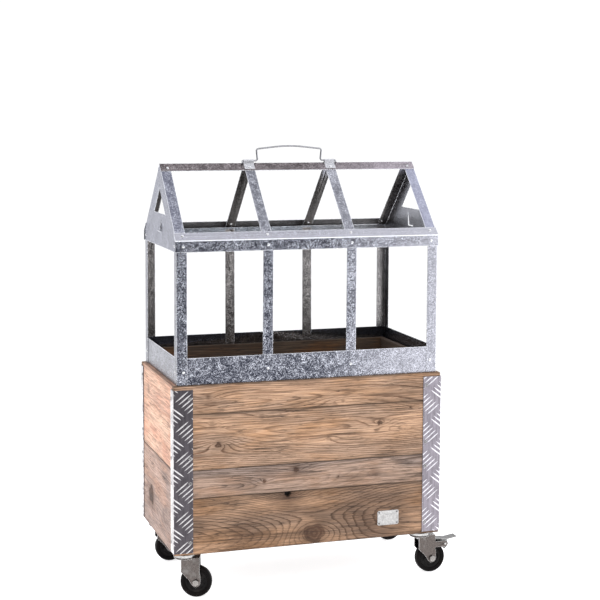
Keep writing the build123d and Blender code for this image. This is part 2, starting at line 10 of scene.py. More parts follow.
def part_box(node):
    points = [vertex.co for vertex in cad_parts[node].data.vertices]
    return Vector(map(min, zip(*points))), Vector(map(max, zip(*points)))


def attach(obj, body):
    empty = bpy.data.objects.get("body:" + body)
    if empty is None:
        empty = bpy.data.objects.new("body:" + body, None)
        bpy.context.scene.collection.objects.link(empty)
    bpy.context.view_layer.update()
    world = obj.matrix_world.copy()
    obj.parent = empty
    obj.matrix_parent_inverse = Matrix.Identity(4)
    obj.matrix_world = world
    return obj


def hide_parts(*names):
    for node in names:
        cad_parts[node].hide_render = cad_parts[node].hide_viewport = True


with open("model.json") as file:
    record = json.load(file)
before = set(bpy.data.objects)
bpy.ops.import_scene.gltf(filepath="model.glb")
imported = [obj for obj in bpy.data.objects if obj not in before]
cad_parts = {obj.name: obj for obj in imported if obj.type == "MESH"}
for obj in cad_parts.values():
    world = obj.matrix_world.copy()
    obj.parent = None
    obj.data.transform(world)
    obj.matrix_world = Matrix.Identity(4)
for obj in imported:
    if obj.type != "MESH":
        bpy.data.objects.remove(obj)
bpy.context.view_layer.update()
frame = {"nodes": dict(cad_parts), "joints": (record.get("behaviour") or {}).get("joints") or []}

MM = 0.001
NODES = frame["nodes"]
JOINTS = {joint["name"]: joint for joint in frame["joints"]}
CASTORS = ("front_left", "front_right", "back_left", "back_right")
BRAKED = CASTORS[1::2]
MIDDLE_X = sum(corner.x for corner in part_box("floor_panel")) / 2


# ------------------------------------------------------------------ materials
class Nodes:
    """A shader node tree. A value that is a socket is linked, and any other is set."""

    def __init__(self, owner):
        owner.use_nodes = True
        self.tree = owner.node_tree

    def put(self, socket, value):
        if isinstance(value, bpy.types.NodeSocket):
            self.tree.links.new(value, socket)
        else:
            socket.default_value = value

    def node(self, kind, inputs=(), **settings):
        node = self.tree.nodes.new("ShaderNode" + kind)
        for name, value in settings.items():
            setattr(node, name, value)
        for name, value in dict(inputs).items():
            self.put(node.inputs[name], value)
        return node

    def place(self):
        return self.node("TexCoord").outputs["Object"]

    def stored(self, name, output="Fac"):
        return self.node("Attribute", attribute_name=name).outputs[output]

    def math(self, operation, *values):
        return self.node("Math", enumerate(values), operation=operation).outputs[0]

    def times(self, a, b):
        return self.math("MULTIPLY", a, b)

    def times_add(self, a, b, c):
        return self.math("MULTIPLY_ADD", a, b, c)

    def off_half(self, value):
        """How far a value is from a half."""
        return self.math("ABSOLUTE", self.math("SUBTRACT", value, 0.5))

    def vector(self, operation, a, b=(0, 0, 0)):
        return self.node("VectorMath", {0: a, 1: b}, operation=operation).outputs[0]

    def dot(self, a, b):
        return self.node("VectorMath", {0: a, 1: b}, operation="DOT_PRODUCT").outputs["Value"]

    def edges(self, radius):
        """The normal rounded near edges, and how nearly it is the true one there."""
        rounded = self.node("Bevel", {"Radius": radius}, samples=4).outputs[0]
        return rounded, self.dot(rounded, self.node("NewGeometry").outputs["Normal"])

    def noise(self, vector, scale=1.0, detail=3.0, rough=0.55, output="Fac"):
        """scale may be one for each axis."""
        if isinstance(scale, tuple):
            vector, scale = self.vector("MULTIPLY", vector, scale), 1.0
        values = {"Vector": vector, "Scale": scale, "Detail": detail, "Roughness": rough}
        return self.node("TexNoise", values).outputs[output]

    def remap(self, value, low, high, out_low=0.0, out_high=1.0):
        values = {"Value": value, 1: low, 2: high, 3: out_low, 4: out_high}
        return self.node("MapRange", values, interpolation_type="SMOOTHSTEP").outputs[0]

    def ramp(self, value, *stops):
        node = self.node("ValToRGB", {"Fac": value})
        elements = node.color_ramp.elements
        for i, (position, colour) in enumerate(stops):
            element = elements[i] if i < 2 else elements.new(position)
            element.position = position
            element.color = (*colour, 1)
        return node.outputs["Color"]

    def mix(self, factor, a, b, blend="MIX"):
        colour = [(*v, 1) if isinstance(v, tuple) else v for v in (a, b)]
        values = {0: factor, 6: colour[0], 7: colour[1]}
        return self.node("Mix", values, data_type="RGBA", blend_type=blend).outputs[2]


class Finish(Nodes):
    """A material's node tree."""

    def __init__(self, name, **shader):
        self.material = bpy.data.materials.new(name)
        super().__init__(self.material)
        self.shader = self.tree.nodes["Principled BSDF"]
        self.set(**shader)

    def set(self, **shader):
        for name, value in shader.items():
            self.put(self.shader.inputs[name.replace("_", " ")], value)

    def bump(self, height, distance, strength=1.0, normal=None):
        values = {"Height": height, "Distance": distance, "Strength": strength}
        if normal:
            values["Normal"] = normal
        self.put(self.shader.inputs["Normal"], self.node("Bump", values).outputs[0])


def scaled(colour, share):
    return tuple(c * share for c in colour)


def wood(name, light, line, patina, patina_cover, line_strength, warm):
    """Weathered plank: rings from the stored field, fibres, patina, knots, checks and dirty edges."""
    f = Finish(name)
    grain = f.stored("grain", "Vector")
    marks = f.node("SeparateXYZ", {0: f.stored("marks", "Vector")}).outputs
    knot, edge, hole = marks[0], marks[1], marks[2]
    fibre = f.noise(grain, (13, 420, 420), detail=4, rough=0.7)
    streak = f.noise(grain, (4, 105, 105), detail=5, rough=0.66)
    cloud = f.noise(grain, (3.2, 15, 15), detail=3)
    blotch = f.noise(grain, (7, 22, 22), detail=5, rough=0.6)
    ring = f.times_add(streak, 0.8, f.stored("ring"))
    ring = f.times_add(fibre, 0.30, ring)
    late = f.ramp(
        f.math("FRACT", ring),
        (0.0, (0, 0, 0)),
        (0.62, (0.10, 0.10, 0.10)),
        (0.84, (0.85, 0.85, 0.85)),
        (0.92, (1, 1, 1)),
        (1.0, (0, 0, 0)),
    )
    fade = f.remap(cloud, 0.34, 0.62, 0.30, 1.0)
    strength = f.times(f.times(late, fade), line_strength)
    colour = f.mix(f.remap(blotch, 0.42, 0.64), light, warm)
    cover = f.times(f.remap(cloud, 0.40, 0.62), patina_cover)
    colour = f.mix(cover, colour, patina)
    colour = f.mix(strength, colour, line)
    colour = f.mix(f.remap(streak, 0.30, 0.50, 0.62, 0.0), colour, line)
    tone = f.times(f.remap(fibre, 0.3, 0.7, 0.50, 1.36), f.remap(blotch, 0.3, 0.7, 1.10, 0.86))
    colour = f.mix(1.0, colour, f.node("CombineColor", {0: tone, 1: tone, 2: tone}).outputs[0], "MULTIPLY")
    flaw = f.noise(grain, (5.5, 130, 40), detail=2)
    split = f.off_half(flaw)
    where = f.remap(f.noise(grain, (9, 26, 9), detail=1), 0.50, 0.60)
    check = f.times(f.remap(split, 0.0, 0.018, 1.0, 0.0), where)
    colour = f.mix(f.times(check, 0.8), colour, (0.030, 0.018, 0.012))
    pore = f.noise(grain, (45, 380, 380), detail=1)
    colour = f.mix(f.remap(pore, 0.62, 0.74, 0.0, 0.55), colour, (0.055, 0.032, 0.020))
    knot_tone = f.mix(f.remap(fibre, 0.3, 0.7), (0.024, 0.012, 0.007), (0.082, 0.040, 0.023))
    colour = f.mix(f.times(knot, 0.97), colour, knot_tone)
    dirt = f.times(edge, f.remap(streak, 0.3, 0.7, 0.45, 1.0))
    colour = f.mix(dirt, colour, (0.030, 0.020, 0.014))
    colour = f.mix(hole, colour, (0.006, 0.004, 0.003))
    height = f.times_add(late, -0.5, f.times(fibre, 0.9))
    height = f.times_add(check, -1.4, height)
    f.set(Base_Color=colour, Roughness=f.remap(fibre, 0.2, 0.8, 0.62, 0.9))
    f.set(Specular_IOR_Level=0.28)
    f.bump(height, 0.0008, 0.7)
    return f.material


def spangle(f, place):
    """Zinc crystals: a random tone for each, and bright feathery veins that turn from one to the next."""
    warp = f.vector("MULTIPLY", f.noise(place, 60, 3, 0.6, "Color"), (0.014, 0.014, 0.014))
    moved = f.vector("ADD", place, warp)
    cell = f.node("TexVoronoi", {"Vector": moved, "Scale": 75.0}).outputs["Color"]
    parts = f.node("SeparateColor", {0: cell}).outputs
    turned = f.node(
        "VectorRotate", {"Vector": moved, "Axis": cell, "Angle": f.times(parts[0], 6.28)}
    ).outputs[0]
    field = f.noise(turned, (75, 230, 230), 2, 0.5)
    vein = f.remap(f.off_half(field), 0.0, 0.065, 1.0, 0.0)
    return vein, parts[1], parts[2]


# Colour of the painted highlights on sheet edges and folds.
EDGE_HIGHLIGHT = (0.95, 0.96, 1.0)


def galvanised(name, tones, pale, inner_tones, slope_lift=0.5, fold=None):
    """Hot-dip galvanised sheet: veined spangle that is calmer and paler towards the right and on the ends, as
    painted light; painted highlights on the edges, and painted shade on the duller faces towards the inside.

    tones are the outer face's dark, middle and light; pale is the painted light tone; slope_lift is how far a
    sloping face turns pale, as painted light; fold is the height of a painted highlight along a fold.
    """
    dark, middle, light = tones
    inner_dark, inner_light = inner_tones
    f = Finish(name, Metallic=1.0)
    coords = f.node("TexCoord").outputs
    place, normal = coords["Object"], coords["Normal"]
    vein, crystal, glint = spangle(f, place)
    fine_vein, _, _ = spangle(f, f.vector("MULTIPLY", place, (1.9, 1.9, 1.9)))
    speckle = f.noise(place, 420, 3, 0.6)
    cloud = f.noise(place, 9.0, 3, 0.6)
    tone = f.times_add(vein, 0.42, f.times(crystal, 0.24))
    tone = f.times_add(fine_vein, 0.26, tone)
    tone = f.times_add(f.math("SUBTRACT", speckle, 0.5), 0.7, tone)
    tone = f.times_add(f.math("SUBTRACT", cloud, 0.5), 0.30, tone)
    outer = f.ramp(tone, (0.08, dark), (0.78, light), (0.34, middle))
    inner = f.ramp(tone, (0.10, inner_dark), (0.75, inner_light))
    axes = f.node("SeparateXYZ", {0: place}).outputs
    # This mask grows towards the right; there the sheet fades into the pale tone as painted light.
    painted_light_right = f.remap(f.times_add(cloud, 0.16, axes[0]), 0.06, 0.36, 0.0, 0.72)
    turns = f.node("SeparateXYZ", {0: normal}).outputs
    side = f.remap(f.math("ABSOLUTE", turns[0]), 0.6, 0.9)
    slope = f.remap(f.math("ABSOLUTE", turns[2]), 0.4, 0.7)
    soft = f.mix(f.remap(tone, 0.1, 0.75), scaled(pale, 0.66), pale)
    outer = f.mix(painted_light_right, outer, soft)
    # Painted light: sloping faces and faces turned to the ends turn towards the pale tone.
    outer = f.mix(f.times(slope, slope_lift), outer, scaled(pale, 0.72))
    outer = f.mix(f.times(side, 0.70), outer, scaled(pale, 0.44))
    # Painted shade and light on the inside faces: paler towards the right, blue-grey facing the ends, darkest
    # on slopes.
    inner = f.mix(f.times(painted_light_right, 0.6), inner, (0.42, 0.41, 0.41))
    inner = f.mix(f.times(side, 0.7), inner, (0.27, 0.28, 0.32))
    inner = f.mix(f.times(slope, 0.85), inner, (0.075, 0.070, 0.068))
    # Painted shade: faces turned towards the inside take the darker inner tones.
    facing = f.dot(f.vector("MULTIPLY", place, (1, 1, 0)), normal)
    colour = f.mix(f.remap(facing, -0.03, 0.0, 1.0, 0.0), outer, inner)
    rounded, bend = f.edges(0.0018)
    # Painted highlight along the edges, where the rounded normal turns away from the true one.
    colour = f.mix(f.remap(bend, 0.96, 0.998, 0.95, 0.0), colour, EDGE_HIGHLIGHT)
    # Painted highlight: a bright line along the fold at the given height.
    if fold is not None:
        away = f.math("ABSOLUTE", f.math("SUBTRACT", axes[2], fold))
        colour = f.mix(f.remap(away, 0.0005, 0.0016, 0.9, 0.0), colour, EDGE_HIGHLIGHT)
    f.set(Base_Color=colour, Roughness=f.remap(tone, 0.1, 0.7, 0.26, 0.17))
    f.bump(f.times_add(glint, 0.5, tone), 0.0005, 0.4, rounded)
    return f.material


def zinc(name, colour, roughness, scale=320, rim=0.0007):
    """Bright zinc plate with fine mottling, duller patches, and a painted highlight on the edges."""
    f = Finish(name, Metallic=1.0)
    place = f.place()
    mottle = f.noise(place, scale, 4, 0.6)
    patch = f.noise(place, 42, 3, 0.6)
    tint = f.mix(f.remap(mottle, 0.3, 0.7), scaled(colour, 0.62), colour)
    tint = f.mix(f.remap(patch, 0.52, 0.72, 0.0, 0.55), tint, (0.22, 0.21, 0.20))
    rounded, bend = f.edges(rim)
    # Painted highlight: edges turn pale where the rounded normal leaves the true one.
    tint = f.mix(f.remap(bend, 0.94, 0.995, 0.8, 0.0), tint, (0.80, 0.79, 0.78))
    f.set(Base_Color=tint, Roughness=f.remap(patch, 0.3, 0.7, roughness, roughness + 0.2))
    f.bump(mottle, 0.0003, 0.25, rounded)
    return f.material


def tread(name, dark, light, side):
    """Rolled tread plate: satin sheet, rolling streaks, and scuffed bright tops on the raised bars.

    side is how bright a leg round the corner is, as a share of the light tone: painted light on that leg.
    """
    f = Finish(name, Metallic=1.0)
    place = f.place()
    raised = f.stored("raised")
    streak = f.noise(place, (240, 240, 30), 4, 0.6)
    scuff = f.noise(place, 160, 4, 0.65)
    base = f.mix(f.remap(streak, 0.3, 0.7), dark, scaled(dark, 1.5))
    turn = f.node("SeparateXYZ", {0: f.node("TexCoord").outputs["Normal"]}).outputs[0]
    # Painted light: the leg turned towards the ends takes a share of the light tone.
    base = f.mix(f.remap(f.math("ABSOLUTE", turn), 0.6, 0.9), base, scaled(light, side))
    top = f.mix(f.remap(scuff, 0.35, 0.65), scaled(light, 0.75), light)
    f.set(Base_Color=f.mix(f.remap(raised, 0.1, 0.6), base, top))
    f.set(Roughness=f.remap(scuff, 0.3, 0.7, 0.26, 0.46))
    f.bump(scuff, 0.0003, 0.35)
    return f.material


def moulded(name, colour, dust, roughness):
    """Moulded rubber or plastic with a dusty bloom."""
    f = Finish(name)
    place = f.place()
    grain = f.noise(place, 1040, 3, 0.6)
    bloom = f.noise(place, 130 / 3, 4, 0.6)
    tint = f.mix(f.remap(bloom, 0.45, 0.75, 0.0, 0.6), colour, dust)
    f.set(Base_Color=tint, Roughness=f.remap(grain, 0.3, 0.7, roughness, roughness + 0.18))
    f.set(Specular_IOR_Level=0.07)
    f.bump(grain, 0.0002, 0.3)
    return f.material


def pale_floor():
    f = Finish("pale_floor", Roughness=0.9, Emission_Strength=0.7)
    cloud = f.noise(f.place(), 1.3, 3)
    f.set(Base_Color=f.mix(cloud, (0.78, 0.78, 0.79), (0.82, 0.82, 0.82)), Emission_Color=(1, 1, 1, 1))
    return f.material


# -------------------------------------------------------------------- meshes
def finish_piece(name, bm, body, material, replaces, smooth):
    """Links the shape as a piece that rides on a body, shaded smooth up to an angle in degrees."""
    bmesh.ops.remove_doubles(bm, verts=bm.verts, dist=1e-6)
    bmesh.ops.recalc_face_normals(bm, faces=bm.faces)
    mesh = bpy.data.meshes.new(name)
    bm.to_mesh(mesh)
    bm.free()
    obj = bpy.data.objects.new(name, mesh)
    bpy.context.scene.collection.objects.link(obj)
    mesh.materials.append(material)
    for polygon in mesh.polygons:
        polygon.use_smooth = True
    mesh.set_sharp_from_angle(angle=math.radians(smooth))
    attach(obj, body)
    if replaces:
        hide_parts(*replaces)


def join_loops(bm, loops):
    """Faces between each closed loop of vertices and the next."""
    for first, second in zip(loops, loops[1:]):
        for i in range(len(first)):
            j = (i + 1) % len(first)
            bm.faces.new((first[i], first[j], second[j], second[i]))


def add_loft(bm, rings, cap=True):
    """Joins equal closed loops of points, capped at both ends. Returns the loops of vertices."""
    loops = [[bm.verts.new(p) for p in ring] for ring in rings]
    join_loops(bm, loops)
    if cap:
        bm.faces.new(loops[0][::-1])
        bm.faces.new(loops[-1])
    return loops


def add_lathe(bm, profile, origin, axis, segments):
    """A turned shape from (radius, height) points about an axis; radius 0 closes an end."""
    turn = Vector(axis).to_track_quat("Z", "Y").to_matrix()
    rings = []
    for radius, height in profile:
        ring = []
        for i in range(segments):
            angle = 2 * math.pi * i / segments
            point = Vector((radius * math.cos(angle), radius * math.sin(angle), height))
            ring.append(bm.verts.new(origin + turn @ point))
        rings.append(ring)
    join_loops(bm, rings)
    return rings


WAVE_TERMS = 9


def waves(points, scale, seed):
    """Smooth seeded noise, about -1 to 1. scale is in waves per metre along each axis."""
    rng = np.random.default_rng(seed)
    total = np.zeros(len(points))
    for _ in range(WAVE_TERMS):
        direction = rng.normal(size=3)
        direction /= np.linalg.norm(direction)
        step = direction * np.array(scale) * rng.uniform(0.5, 1.6) * 2 * math.pi
        total += np.sin(points @ step + rng.uniform(0, 2 * math.pi))
    return total / math.sqrt(WAVE_TERMS)


def islands(node):
    """Corner pairs of each separate solid in a CAD node's mesh."""
    bm = bmesh.new()
    bm.from_mesh(NODES[node].data)
    bmesh.ops.remove_doubles(bm, verts=bm.verts, dist=2e-5)
    seen, found = set(), []
    for start in bm.verts:
        if start in seen:
            continue
        seen.add(start)
        queue, points = [start], []
        while queue:
            vert = queue.pop()
            points.append(vert.co[:])
            for edge in vert.link_edges:
                other = edge.other_vert(vert)
                if other not in seen:
                    seen.add(other)
                    queue.append(other)
        points = np.array(points)
        found.append((Vector(points.min(0)), Vector(points.max(0))))
    bm.free()
    return sorted(found, key=lambda pair: [round(v, 4) for v in (*pair[0], *pair[1])])


def keep(node, material, bevel, angle=30):
    """A CAD node whose shape is right: its edges are eased and it gets its material."""
    obj = NODES[node]
    obj.data.materials.clear()
    obj.data.materials.append(material)
    weld = obj.modifiers.new("weld", "WELD")
    weld.merge_threshold = 1e-5
    smooth = obj.modifiers.new("smooth", "NODES")
    smooth.node_group = smooth_group(angle)
    if bevel:
        ease = obj.modifiers.new("ease", "BEVEL")
        ease.width = bevel
        ease.segments = 2
        ease.limit_method = "ANGLE"
        ease.angle_limit = math.radians(angle)
        ease.harden_normals = True


SMOOTH_GROUPS = {}


def smooth_group(angle):
    """A geometry group that shades smooth, with sharp edges above an angle."""
    if angle in SMOOTH_GROUPS:
        return SMOOTH_GROUPS[angle]
    group = bpy.data.node_groups.new(f"smooth_{angle}", "GeometryNodeTree")
    for way in ("INPUT", "OUTPUT"):
        group.interface.new_socket("Geometry", in_out=way, socket_type="NodeSocketGeometry")
    start = group.nodes.new("NodeGroupInput")
    end = group.nodes.new("NodeGroupOutput")
    faces, edges = (group.nodes.new("GeometryNodeSetShadeSmooth") for _ in range(2))
    faces.domain, edges.domain = "FACE", "EDGE"
    measure = group.nodes.new("GeometryNodeInputMeshEdgeAngle")
    compare = group.nodes.new("FunctionNodeCompare")
    compare.operation = "LESS_THAN"
    compare.inputs[1].default_value = math.radians(angle)
    group.links.new(measure.outputs[0], compare.inputs[0])
    group.links.new(start.outputs[0], faces.inputs["Geometry"])
    group.links.new(faces.outputs[0], edges.inputs["Geometry"])
    group.links.new(compare.outputs[0], edges.inputs["Shade Smooth"])
    group.links.new(edges.outputs[0], end.inputs[0])
    SMOOTH_GROUPS[angle] = group
    return group


# -------------------------------------------------------------------- planks
def spaced(length, step, edge):
    """Distances along a side, closer together near both ends."""
    near = [0.0, 0.3 * edge, 0.65 * edge]
    middle = np.linspace(edge, length - edge, max(2, round((length - 2 * edge) / step)) + 1)
    return np.concatenate([near, middle, [length - d for d in near[::-1]]])


# Mesh step and edge radius; knots; ring spacing; the pith's place across the board (a share), its
# drift along it, its depth below the face and how that changes; and dirt at the edges.
PLANK_LOOK = dict(
    step=0.003, edge=0.0024, knots=(), ring=0.0052, pith=0.5, tilt=0.0, depth=0.022, taper=0.6, dirt=1.0
)


class Plank:
    """A worn plank between two corners. along and face are axis numbers, and out is +1 or -1.

    Inside the class a runs with the grain, b across the face and c through the board, from 0, with
    the outer face at the board's full thickness.
    """

    def __init__(self, low, high, along, face, out, seed, **look):
        self.axes = [along, 3 - along - face, face]
        self.low, self.size = np.array(low), (np.array(high) - np.array(low))[self.axes]
        self.out, self.seed = out, seed
        vars(self).update({**PLANK_LOOK, **look})

    def field(self, p):
        """Ring count: distance from a pith line that wanders and rises, pushed aside by knots."""
        a, b, c = p.T
        length, width, thick = self.size
        wander = 0.010 * waves(p, (1.6, 0.0, 0.0), self.seed + 5)
        line = width * self.pith + self.tilt * (a - length / 2) + wander
        below = thick - c + self.depth * (1 + self.taper * (2 * a / length - 1))
        rings = np.hypot(b - line, below) / self.ring
        rings += 0.55 * waves(p, (3.0, 14.0, 14.0), self.seed + 6)
        for ka, kb, radius, reach, push, _ in self.knots:
            distance = np.hypot((a - ka) / reach[0], (b - kb) / reach[1])
            rings += push * np.exp(-distance)
        return rings

    def shaped(self, p):
        """Rounds and chips the edges, sinks the knots and weathers the outer face."""
        a, b, c = p.T
        length, width, thick = self.size
        scatter = waves(p, (22, 30, 30), self.seed + 1)
        nick = np.clip(waves(p, (9, 16, 16), self.seed + 2) - 1.35, 0, 1)
        radius = self.edge * (0.55 + 0.2 * scatter + 1.5 * nick)
        radius = np.clip(radius, 0.0003, thick * 0.3)[:, None]
        inner = np.clip(p, radius, self.size - radius)
        away = p - inner
        reach = np.linalg.norm(away, axis=1, keepdims=True)
        moved = inner + away / np.maximum(reach, 1e-9) * np.where(reach > 1e-9, radius, 0)
        sunk = 0.00022 * (1 + waves(p, (4, 26, 26), self.seed + 3))
        marks = np.zeros((len(p), 3))
        for ka, kb, kr, _, _, kind in self.knots:
            angle = np.arctan2(b - kb, a - ka)
            wobble = 1 + 0.10 * np.sin(3 * angle + ka * 90) + 0.06 * np.sin(5 * angle + kb * 70)
            far = np.hypot((a - ka) / 1.12, b - kb) / (kr * wobble)
            if kind == "hole":
                inside = np.clip((1.15 - far) / 0.35, 0, 1)
                sunk = np.maximum(sunk, inside * thick * 0.55)
                marks[:, 2] = np.maximum(marks[:, 2], np.clip((1.2 - far) / 0.3, 0, 1))
                dark = 0.90 * np.exp(-np.clip(far - 1, 0, None) / 4.0)
            elif kind == "stain":
                dark = 0.42 * np.clip(1.5 - far, 0, 1)
            else:
                sunk = sunk + 0.0006 * np.exp(-(((far - 1.0) / 0.14) ** 2))
                sunk = sunk - 0.0002 * np.clip(1 - far, 0, 1)
                core = np.clip((1.10 - far) / 0.16, 0, 1)
                ringed = 0.26 * np.clip(np.sin(far * 15.0), 0, 1) * core
                rim = 0.95 * np.exp(-(((far - 1.0) / 0.13) ** 2))
                halo = 0.50 * np.exp(-np.clip(far - 1, 0, None) / 0.7)
                dark = np.maximum(0.97 * core - ringed, np.maximum(rim, halo))
            marks[:, 0] = np.maximum(marks[:, 0], dark)
        weight = np.clip((c - (thick - 0.004)) / 0.004, 0, 1)
        moved[:, 2] -= np.maximum(sunk, 0) * weight
        side = np.minimum(np.minimum(b, width - b), np.minimum(a, length - a) * 2.0)
        rub = 0.0035 * (1 + 0.5 * waves(p, (9, 40, 40), self.seed + 4))
        marks[:, 1] = self.dirt * np.exp(-np.clip(side, 0, None) / np.clip(rub, 0.001, None)) * 0.75
        return moved, marks

    def add_to(self, bm):
        length, width, thick = self.size
        across = spaced(width, self.step, self.edge)
        through = spaced(thick, 0.006, self.edge)
        back = spaced(width, max(self.step * 6, 0.02), self.edge)
        loop = [(b, thick) for b in across]
        loop += [(width, c) for c in through[::-1][1:]]
        loop += [(b, 0.0) for b in back[::-1][1:]]
        loop += [(0.0, c) for c in through[1:-1]]
        loop = np.array(loop)
        stations = spaced(length, self.step, self.edge)
        rings = [np.column_stack([np.full(len(loop), a), loop]) for a in stations]
        for share in (0.5, 1.0):
            margin = share * self.edge * 1.5
            inset = np.column_stack(
                [np.clip(loop[:, 0], margin, width - margin), np.clip(loop[:, 1], margin, thick - margin)]
            )
            rings.insert(0, np.column_stack([np.zeros(len(loop)), inset]))
            rings.append(np.column_stack([np.full(len(loop), length), inset]))
        p = np.concatenate(rings)
        field = self.field(p)
        moved, marks = self.shaped(p)
        if self.out < 0:
            moved[:, 2] = thick - moved[:, 2]
        world = np.empty_like(moved)
        world[:, self.axes] = moved
        world += self.low
        floats, vectors = bm.verts.layers.float, bm.verts.layers.float_vector
        ring_layer = floats.get("ring") or floats.new("ring")
        grain_layer = vectors.get("grain") or vectors.new("grain")
        marks_layer = vectors.get("marks") or vectors.new("marks")
        count = len(loop)
        loops = add_loft(bm, world.reshape(-1, count, 3).tolist())
        offset = np.array([self.seed * 0.37, self.seed * 0.71, self.seed * 0.13])
        for i, vert in enumerate(v for ring in loops for v in ring):
            vert[ring_layer] = field[i]
            vert[grain_layer] = p[i] + offset
            vert[marks_layer] = marks[i]


def planks(name, pieces, body, material, replaces):
    bm = bmesh.new()
    for piece in pieces:
        piece.add_to(bm)
    finish_piece(name, bm, body, material, replaces, 50)


# Light tone, late-wood line, patina, its cover, the line's strength, and warm tone.
WOOD_TONES = {
    "tan": (
        (0.425, 0.265, 0.168), (0.088, 0.040, 0.021), (0.255, 0.185, 0.141), 0.50, 0.95, (0.434, 0.245, 0.133)
    ),
    "grey": (
        (0.325, 0.224, 0.168), (0.060, 0.036, 0.025), (0.238, 0.190, 0.170), 0.70, 0.95, (0.322, 0.197, 0.13)
    ),
    "brown": (
        (0.345, 0.205, 0.122), (0.050, 0.026, 0.014), (0.187, 0.125, 0.09), 0.75, 0.9, (0.259, 0.139, 0.071)
    ),
    # pale and pale_grey are paler tones for the left end boards: painted light from the left.
    "pale": (
        (0.61, 0.40, 0.295), (0.365, 0.181, 0.114), (0.562, 0.362, 0.281), 0.5, 0.50, (0.669, 0.362, 0.255)
    ),
    "pale_grey": (
        (0.422, 0.294, 0.238), (0.173, 0.102, 0.076), (0.307, 0.237, 0.211), 0.8, 0.6, (0.435, 0.269, 0.198)
    ),
    # inner is painted shade: the wood inside the box in dark tones.
    "inner": (
        (0.083, 0.055, 0.036), (0.022, 0.013, 0.009), (0.061, 0.044, 0.034), 0.6, 0.85, (0.143, 0.068, 0.028)
    ),
}
WOODS = {kind: wood(f"wood_{kind}", *tones) for kind, tones in WOOD_TONES.items()}

# Knots: centre from the board's left end and the box's base, radius, reach along and across the
# grain of the rings bent round them, how many rings they bend, and kind. Millimetres.
FRONT_KNOTS = {
    1: [(82, 372, 5, (40, 12), 3.0, "stain"), (415, 344, 4, (90, 14), 4.0, "stain")],
    2: [
        (106.5, 257.5, 6, (34, 14), 5.0, "knot"),
        (510.5, 285, 5.5, (60, 18), 5.0, "knot"),
        (590.5, 317.5, 2.2, (15, 6), 1.5, "knot"),
        (379, 255, 5, (30, 12), 2.0, "stain"),
        (92, 307, 7, (30, 16), 2.5, "stain"),
        (212, 320, 6, (90, 12), 3.0, "stain"),
    ],
    3: [
        (298, 184.5, 6, (46, 14), 4.0, "knot"),
        (219, 162.5, 4, (30, 10), 3.0, "knot"),
        (404, 160, 2, (12, 5), 1.0, "knot"),
        (500, 166, 12, (90, 18), 4.0, "stain"),
    ],
    4: [
        (277.5, 127.5, 6.5, (60, 26), 8.0, "hole"),
        (344, 25, 21.5, (120, 52), 15.0, "knot"),
        (500, 66, 75, (160, 60), 0.0, "stain"),
        (160, 32, 30, (90, 40), 0.0, "stain"),
    ],
}
BOARD_LOOKS = {
    1: dict(pith=0.35, tilt=-0.03, depth=0.016, taper=0.9, ring=0.0046),
    2: dict(pith=0.62, tilt=-0.05, depth=0.020, taper=-0.7, ring=0.0050),
    3: dict(pith=0.45, tilt=0.02, depth=0.016, taper=0.8, ring=0.0042),
    4: dict(pith=0.25, tilt=0.02, depth=0.060, taper=0.2, ring=0.0046),
}


def build_boards():
    """Front, back and end boards, one piece each."""
    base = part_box("floor_panel")[0].z
    for side, out, face_step in (("front", -1, 0.0022), ("back", 1, 0.004)):
        for i in range(1, 5):
            node = f"{side}_board_{i}"
            low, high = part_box(node)
            knots = []
            for x, z, radius, reach, push, kind in FRONT_KNOTS[i]:
                if side == "back":
                    x = (high.x - low.x) / MM - x * 0.9 - 20
                    kind = "knot" if kind == "hole" else kind
                spread = (reach[0] * MM, reach[1] * MM)
                knots.append((x * MM, (z * MM + base) - low.z, radius * MM, spread, push, kind))
            look = dict(BOARD_LOOKS[i], knots=knots, step=face_step)
            seed = 11 * i + (100 if side == "back" else 0)
            kind = ("tan", "tan", "grey", "brown")[i - 1]
            piece = Plank(low, high, 0, 1, out, seed, **look)
            planks(f"{side}_plank_{i}", [piece], "planter", WOODS[kind], [node])
    for side, out in (("left", -1), ("right", 1)):
        for i in (1, 2):
            node = f"{side}_end_board_{i}"
            low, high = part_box(node)
            width = high.y - low.y
            knots = [(width * 0.80, 0.145, 0.010, (0.06, 0.02), 4.0, "stain")]
            if i == 2:
                knots = [
                    (width * 0.72, 0.083, 0.021, (0.08, 0.035), 6.0, "knot"),
                    (width * 0.30, 0.070, 0.008, (0.05, 0.014), 3.0, "stain"),
                ]
            look = dict(knots=knots, step=0.004, ring=0.0065, pith=0.45, tilt=0.04, depth=0.03, dirt=0.8)
            # The left end takes the paler tones as painted light; the right end the ordinary ones.
            kind = {"left": ("pale", "pale_grey"), "right": ("tan", "grey")}[side][i - 1]
            piece = Plank(low, high, 1, 0, out, 200 + 17 * i + (60 if out > 0 else 0), **look)
            planks(f"{side}_end_plank_{i}", [piece], "planter", WOODS[kind], [node])


